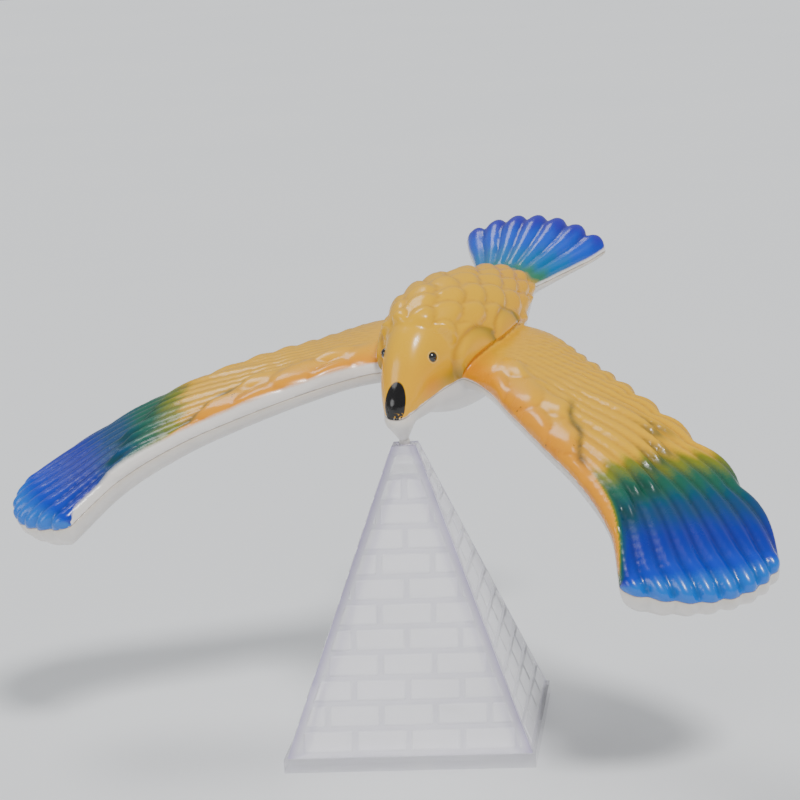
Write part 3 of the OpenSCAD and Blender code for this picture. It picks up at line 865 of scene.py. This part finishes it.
            bmesh.ops.recalc_face_normals(half, faces=half.faces[:])
            bmesh.ops.transform(half, matrix=attitude.matrix(), verts=half.verts[:])
            name = "bird_upper_skin" if side is Side.UPPER else "bird_lower_skin"
            me = bpy.data.meshes.new(name)
            half.to_mesh(me)
            half.free()
            ob = in_scene(name, me)
            thick = ob.modifiers.new("wall", "SOLIDIFY")
            thick.thickness, thick.offset, thick.use_even_offset = self.wall * MM, -1.0, False
            walled = bpy.data.meshes.new_from_object(ob.evaluated_get(bpy.context.evaluated_depsgraph_get()))
            ob.modifiers.clear()
            ob.data = walled
            bpy.data.meshes.remove(me)
            walled.name = name
            walled.shade_smooth()
            walled.materials.append(materials.painted() if side is Side.UPPER else materials.white())
            LOG.info("%s: %d faces", name, len(walled.polygons))
            pair.append(ob)
        bm.free()
        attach(pair[0], "bird")
        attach(pair[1], "bird")
        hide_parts("upper_shell")
        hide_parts("lower_shell")
        return pair


@dataclass
class Pyramid:
    """Clear hollow pyramid with a raised brick pattern on all four sides."""

    base: float = 52.6
    top: float = 5.4
    foot_z: float = 3.0
    top_z: float = 65.4
    wall: float = 2.7
    hollow_z: float = 58.0
    courses: int = 12
    brick: float = 11.6
    joint: float = 0.9
    bevel: float = 0.45
    relief: float = 0.26
    margin: float = 1.5
    pocket_r: float = 2.06
    pocket_h: float = 2.75

    def _run(self) -> tuple[float, float, float]:
        """Rise, run and slope length of a face."""
        rise, run = self.top_z - self.foot_z, (self.base - self.top) / 2
        return rise, run, math.hypot(rise, run)

    def _courses(self) -> list:
        """Low and high edge of each course, as lengths up the face."""
        pitch = self._run()[2] / (self.courses + 0.35)
        return [((c + 0.2) * pitch, (c + 1.2) * pitch - self.joint) for c in range(self.courses)]

    def _relief(self, x: float, t: float) -> float:
        """Height of the brick pattern at a point of a face.

        Args:
            x: Distance from the face's middle line.
            t: Length up the face.

        Returns:
            How far the surface stands out.
        """
        _, run, slope = self._run()
        edge = (self.base / 2 - run * t / slope) - abs(x) - self.margin
        for c, (low, high) in enumerate(self._courses()):
            if low <= t <= high:
                off = 0.5 * (c % 2) * self.brick
                joint = abs((x - off + self.brick / 2) % self.brick - self.brick / 2) - self.joint / 2
                return self.relief * min(1.0, max(0.0, min(t - low, high - t, joint, edge) / self.bevel))
        return 0.0

    def _face(self) -> bmesh.types.BMesh:
        """One bricked face, cut along every line where the pattern bends and then raised."""
        rise, run, _ = self._run()
        half, small = self.base / 2, self.top / 2
        bm = bmesh.new()
        joint = bm.verts.layers.float.new("joint")
        bmesh.ops.create_grid(bm, x_segments=1, y_segments=1, size=0.5)
        for v in bm.verts:
            up = v.co.y > 0
            wide = small if up else half
            v.co = (math.copysign(wide, v.co.x), -wide, self.top_z if up else self.foot_z)
        normal = Vector((0, -rise, run)).normalized()
        along = Vector((0, run, rise)).normalized()
        foot = Vector((0, -half, self.foot_z))
        cuts = []
        for low, high in self._courses():
            cuts += [(foot + along * t, along) for t in (low, low + self.bevel, high - self.bevel, high)]
        for i in range(-6, 7):
            for d in (self.joint / 2, self.joint / 2 + self.bevel):
                for x in (i * self.brick / 2 - d, i * self.brick / 2 + d):
                    if abs(x) < half:
                        cuts.append((Vector((x, 0, 0)), Vector((1, 0, 0))))
        for side in (-1, 1):
            for m in (self.margin, self.margin + self.bevel):
                edge = Vector((side * (half - m), -half, self.foot_z))
                lean = Vector((-side * run, run, rise))
                cuts.append((edge, lean.cross(normal)))
        for place, across in cuts:
            bmesh.ops.bisect_plane(
                bm, geom=bm.verts[:] + bm.edges[:] + bm.faces[:], dist=1e-4, plane_co=place, plane_no=across,
            )
        for v in bm.verts:
            high = self._relief(v.co.x, (v.co - foot).dot(along))
            # The joint layer is 1 in the low joints and margins, which the clear material darkens with painted shade.
            v[joint] = 1.0 - high / self.relief
            v.co += normal * high
        return bm

    def build(self, material: bpy.types.Material) -> bpy.types.Object:
        """Makes the pyramid and puts it on the stand body.

        Args:
            material: The clear plastic.

        Returns:
            The finished piece.
        """
        bm = self._face()
        bmesh.ops.spin(
            bm, geom=bm.verts[:] + bm.edges[:] + bm.faces[:], cent=(0, 0, 0), axis=(0, 0, 1), angle=1.5 * math.pi,
            steps=3, use_duplicate=True,
        )
        bmesh.ops.remove_doubles(bm, verts=bm.verts[:], dist=2e-3)
        self._inside(bm)
        bmesh.ops.remove_doubles(bm, verts=bm.verts[:], dist=1e-4)
        bmesh.ops.recalc_face_normals(bm, faces=bm.faces[:])
        open_edges = sum(1 for e in bm.edges if len(e.link_faces) != 2)
        LOG.info("pyramid: %d faces, %d open edges", len(bm.faces), open_edges)
        bmesh.ops.scale(bm, vec=(MM, MM, MM), verts=bm.verts[:])
        me = bpy.data.meshes.new("pyramid_clear")
        bm.to_mesh(me)
        bm.free()
        ob = in_scene("pyramid_clear", me)
        me.materials.append(material)
        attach(ob, "stand")
        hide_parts("pyramid_shell")
        return ob

    @staticmethod
    def _open_edges(bm: bmesh.types.BMesh, z: float) -> list:
        """The open edges that lie at one height."""
        return [e for e in bm.edges if e.is_boundary and all(abs(v.co.z - z) < 1e-3 for v in e.verts)]

    def _inside(self, bm: bmesh.types.BMesh) -> None:
        """Adds the hollow, the rim at the foot, and the flat top with its pocket."""
        k = (self.hollow_z - self.foot_z) / (self.top_z - self.foot_z)
        low, high = self.base / 2 - self.wall, self.base / 2 - self.wall - (self.base - self.top) / 2 * k
        quad = ((-1, -1), (1, -1), (1, 1), (-1, 1))
        foot = [bm.verts.new((a * low, b * low, self.foot_z)) for a, b in quad]
        roof = [bm.verts.new((a * high, b * high, self.hollow_z)) for a, b in quad]
        for i in range(4):
            bm.faces.new((foot[i], roof[i], roof[(i + 1) % 4], foot[(i + 1) % 4]))
        bm.faces.new(roof)
        inner = [bm.edges.get((foot[i], foot[(i + 1) % 4])) for i in range(4)]
        outer = [e for e in self._open_edges(bm, self.foot_z) if e not in inner]
        bmesh.ops.triangle_fill(bm, use_beauty=True, edges=outer + inner)
        made = bmesh.ops.create_circle(
            bm, cap_ends=False, radius=self.pocket_r, segments=48, matrix=Matrix.Translation((0, 0, self.top_z))
        )
        lip = list({e for v in made["verts"] for e in v.link_edges})
        grown = bmesh.ops.extrude_edge_only(bm, edges=lip)["geom"]
        sunk = [g for g in grown if isinstance(g, bmesh.types.BMVert)]
        bmesh.ops.translate(bm, vec=(0, 0, -self.pocket_h), verts=sunk)
        bmesh.ops.contextual_create(bm, geom=[g for g in grown if isinstance(g, bmesh.types.BMEdge) and g.is_boundary])
        rim = self._open_edges(bm, self.top_z)
        bmesh.ops.triangle_fill(bm, use_beauty=True, edges=rim)


@dataclass
class Studio:
    """Camera, floor and lights."""

    lens: float = 135.0
    position: tuple = (73.4, -634.5, 200.7)
    azimuth: float = 6.64
    elevation: float = 11.12
    roll: float = -3.46

    def camera(self) -> None:
        """Sets the camera a little to the right of the stand, looking slightly down."""
        y, p, r = (math.radians(a) for a in (self.azimuth, self.elevation, self.roll))
        back = Vector((math.sin(y) * math.cos(p), -math.cos(y) * math.cos(p), math.sin(p)))
        right = (-back).cross(Vector((0, 0, 1))).normalized()
        up = right.cross(-back)
        x, z = right * math.cos(r) + up * math.sin(r), back
        yv = -right * math.sin(r) + up * math.cos(r)
        cam = bpy.data.cameras.new("camera")
        cam.sensor_width = 36.0
        cam.lens = self.lens
        cam.clip_start, cam.clip_end = 0.01, 20.0
        ob = in_scene("camera", cam)
        m = Matrix((x, yv, z)).transposed().to_4x4()
        m.translation = Vector(self.position) * MM
        ob.matrix_world = m
        bpy.context.scene.camera = ob

    def floor(self) -> None:
        """A plain pale floor."""
        bm = bmesh.new()
        bmesh.ops.create_grid(bm, x_segments=4, y_segments=4, size=3.0)
        me = bpy.data.meshes.new("floor")
        bm.to_mesh(me)
        bm.free()
        ob = in_scene("floor", me)
        mat = bpy.data.materials.new("FloorPale")
        mat.use_nodes = True
        sh = Shader(mat.node_tree)
        bsdf = mat.node_tree.nodes["Principled BSDF"]
        noise = sh.add("ShaderNodeTexNoise", Scale=6.0)
        coord = sh.add("ShaderNodeTexCoord")
        sh.link(coord.outputs["Object"], noise.inputs["Vector"])
        pale = [(0.0, (0.87, 0.885, 0.90)), (1.0, (0.90, 0.91, 0.92))]
        sh.link(sh.ramp(noise.outputs["Fac"], pale), bsdf.inputs["Base Color"])
        bsdf.inputs["Roughness"].default_value = 0.6
        me.materials.append(mat)

    def light(self, name: str, place: tuple, spread: float, strength: float) -> None:
        """One soft lamp, far away in the direction of place, that looks at the toy."""
        data = bpy.data.lights.new(name, "SUN")
        data.angle, data.energy = math.radians(spread), strength
        ob = in_scene(name, data)
        ob.location = place
        ob.rotation_euler = (Vector((0, 0, 0.07)) - Vector(place)).to_track_quat("-Z", "Y").to_euler()

    def lights(self) -> None:
        """Soft studio light from above, with a weaker lamp on each side."""
        self.light("key", (0.25, -0.45, 0.75), 14.0, 2.35)
        self.light("top", (-0.25, 0.30, 0.80), 24.0, 0.75)
        self.light("fill", (-0.75, -0.50, 0.35), 26.0, 0.55)
        world = bpy.data.worlds.new("world")
        world.use_nodes = True
        world.node_tree.nodes["Background"].inputs[0].default_value = (0.92, 0.96, 1.0, 1)
        world.node_tree.nodes["Background"].inputs[1].default_value = 0.38
        bpy.context.scene.world = world

    def build(self) -> None:
        """Sets up everything that isn't the toy."""
        self.camera()
        self.floor()
        self.lights()


class SmallParts:
    """Finishes for the pieces whose modelled shape is already the real one."""

    def __init__(self, materials: Materials) -> None:
        self.materials = materials

    def dress(self) -> None:
        """Puts a finish on each such piece."""
        clear = self.materials.clear("ClearBase", (0.90, 0.87, 0.96), 0.25)
        steel = self.materials.gloss(Finish("WeightSteel", 0.32, 0.0, (0.62, 0.63, 0.65)), 1.0)
        eye = self.materials.gloss(Finish("EyeBlack", 0.06, 1.0, (0.012, 0.011, 0.011)))
        peg = self.materials.gloss(Finish("PegWhite", 0.3, 0.2, (0.84, 0.80, 0.76)))
        for node, mat in (
            ("base_plate", clear), ("pivot_cup", clear), ("wing_weight_left", steel), ("wing_weight_right", steel),
            ("eye_left", eye), ("eye_right", eye), ("peg_ball", peg),
        ):
            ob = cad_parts[node]
            ob.data.materials.clear()
            ob.data.materials.append(mat)
            if node in ("peg_ball", "eye_left", "eye_right"):
                ob.data.shade_smooth()


def main() -> None:
    """Builds the scene."""
    materials = Materials()
    BirdSkin().shells(materials, Attitude())
    Pyramid().build(materials.clear("ClearPyramid", (0.97, 0.96, 0.99), 0.46, True))
    SmallParts(materials).dress()
    Studio().build()


if __name__ == "__main__":
    main()
